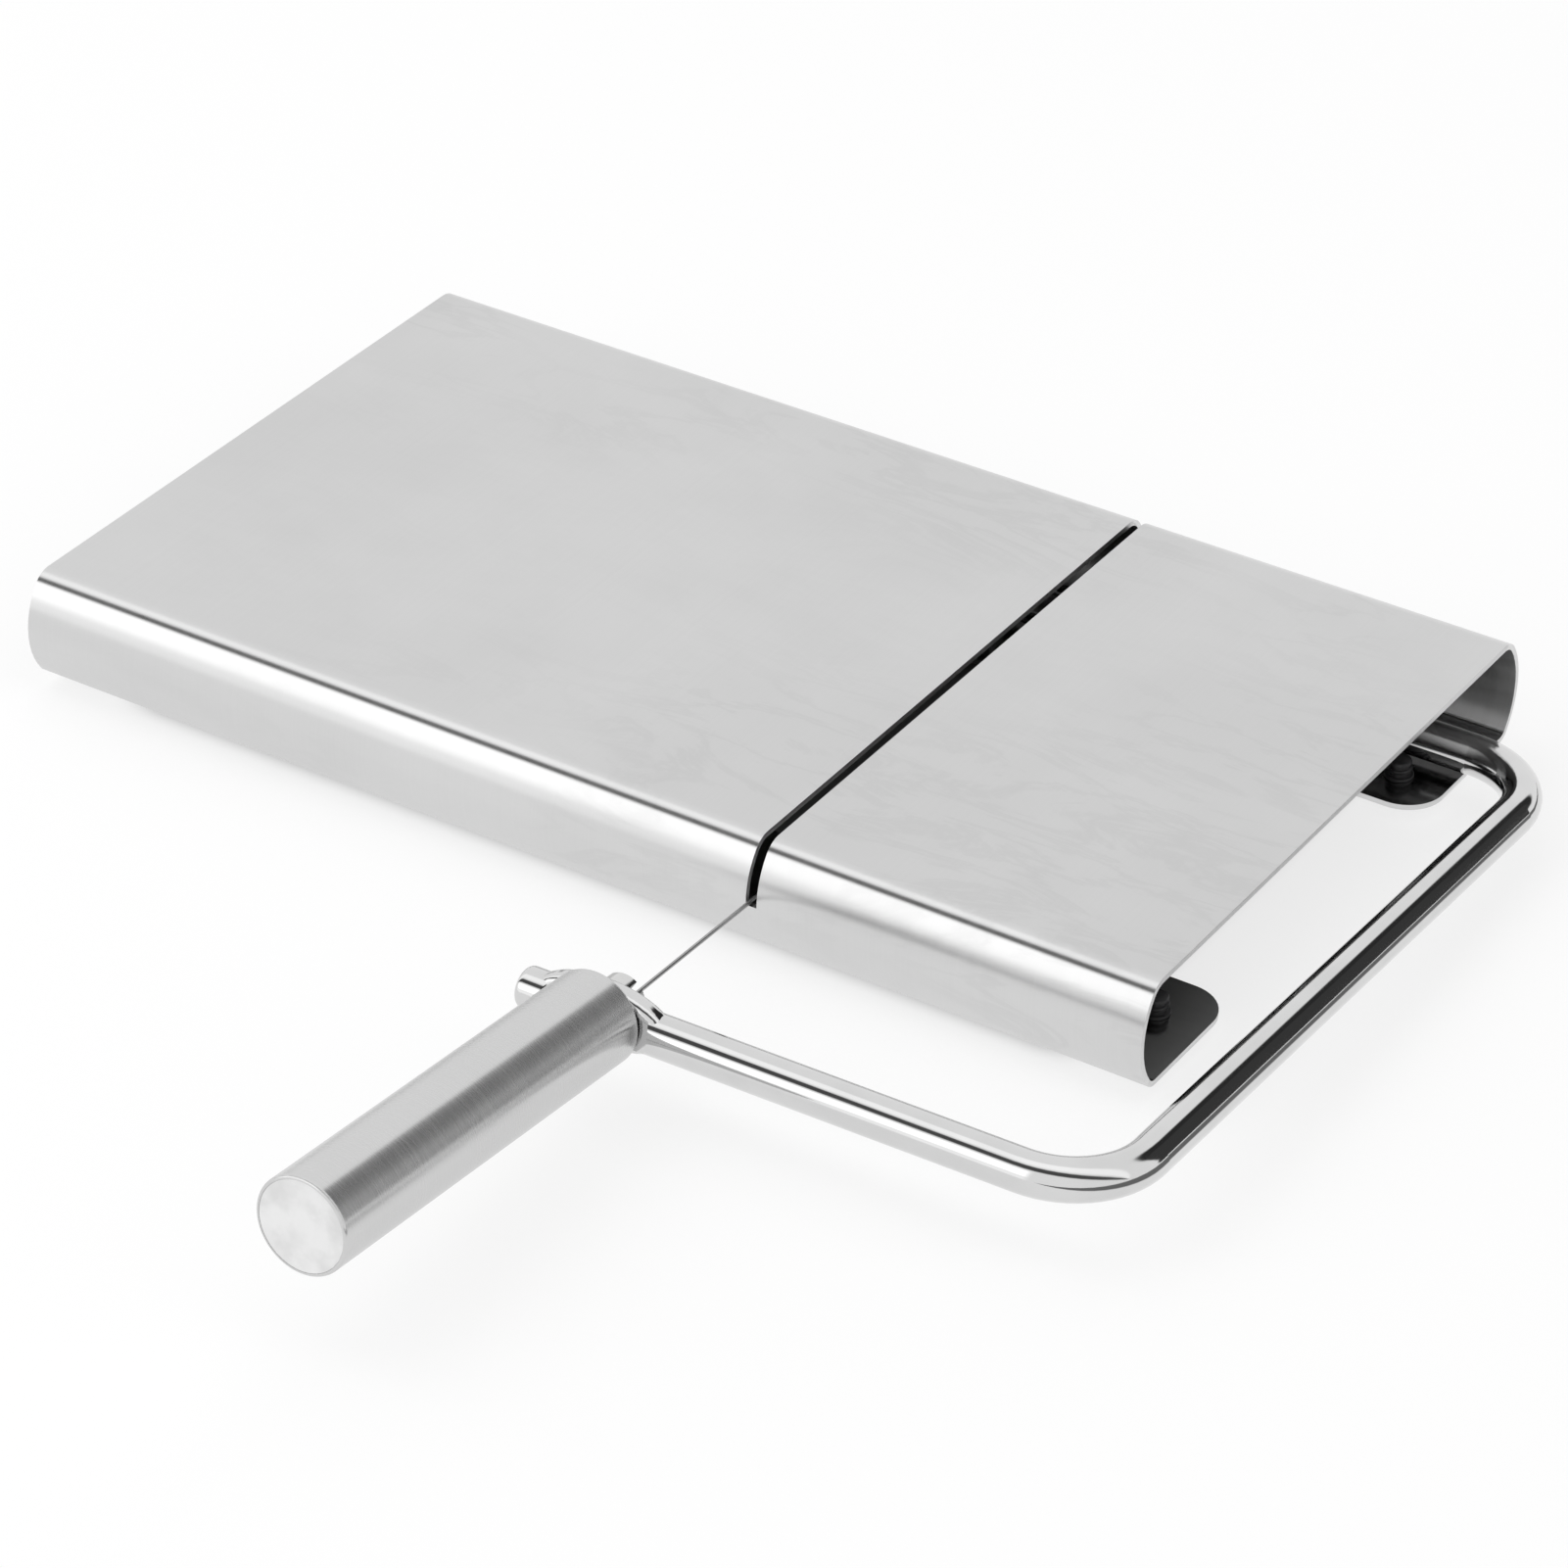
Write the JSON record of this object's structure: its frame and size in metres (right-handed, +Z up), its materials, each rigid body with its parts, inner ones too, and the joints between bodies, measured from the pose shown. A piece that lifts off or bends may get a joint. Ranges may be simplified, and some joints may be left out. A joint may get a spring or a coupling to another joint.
{
  "type": "wire butter slicer",
  "caption": "Wire butter slicer: a folded brushed steel board on rubber feet, with a hinged polished steel bow that draws a taut wire down through the board's slot, and a brushed round handle.",
  "frame": {"origin": "on the table that the four rubber pads stand on, under the middle of the board's deck", "axes": "+X along the board towards the end that the bow comes out of, -Y towards the side that the handle points to, +Z up out of the deck"},
  "size_m": [0.2344, 0.2456, 0.0313],
  "materials": {
    "brushed_sheet": "fine brushing across the deck and round its bends",
    "bracket_steel": "plain rolled sheet",
    "bow_steel": "polished round rod",
    "handle_steel": "fine brushing round the handle",
    "cap_steel": "turned and polished face",
    "small_steel": "bright turned steel",
    "wire_steel": "drawn wire",
    "washer_plastic": "moulded",
    "foot_rubber": "moulded"
  },
  "bodies": {
    "board": {"board_shell": "brushed_sheet", "foot_front_left": "foot_rubber", "foot_front_right": "foot_rubber", "foot_rear_left": "foot_rubber", "foot_rear_right": "foot_rubber", "hinge_bracket_inner": "bracket_steel", "hinge_bracket_outer": "bracket_steel"},
    "bow": {"bow_rod": "bow_steel", "retaining_rings": "small_steel", "thrust_washer": "washer_plastic"},
    "stud": {"tension_stud": "small_steel", "cutting_wire": "wire_steel", "wire_barrel_front": "small_steel", "wire_barrel_rear": "small_steel"},
    "handle": {"handle_tube": "handle_steel", "handle_plug": "small_steel", "handle_cap": "cap_steel"}
  },
  "joints": [
    {"name": "arm_swing", "type": "hinge", "parent": "board", "child": "bow", "pos_m": [0.051, 0.04417, 0.0084], "axis": [-1, 0, 0], "range_deg": [0, 145]},
    {"name": "handle_turn", "type": "hinge", "parent": "bow", "child": "handle", "pos_m": [0.03675, -0.10454, 0.01569], "axis": [0, -0.9951, 0.0985], "range_deg": [0, 1440]},
    {"name": "stud_slide", "type": "slide", "parent": "bow", "child": "stud", "axis": [0, 0.9951, -0.0985], "range_m": [0, 0.0032]}
  ],
  "couplings": [
    {"joint": "stud_slide", "follows": "handle_turn", "m_per_rad": 0.00012732}
  ]
}
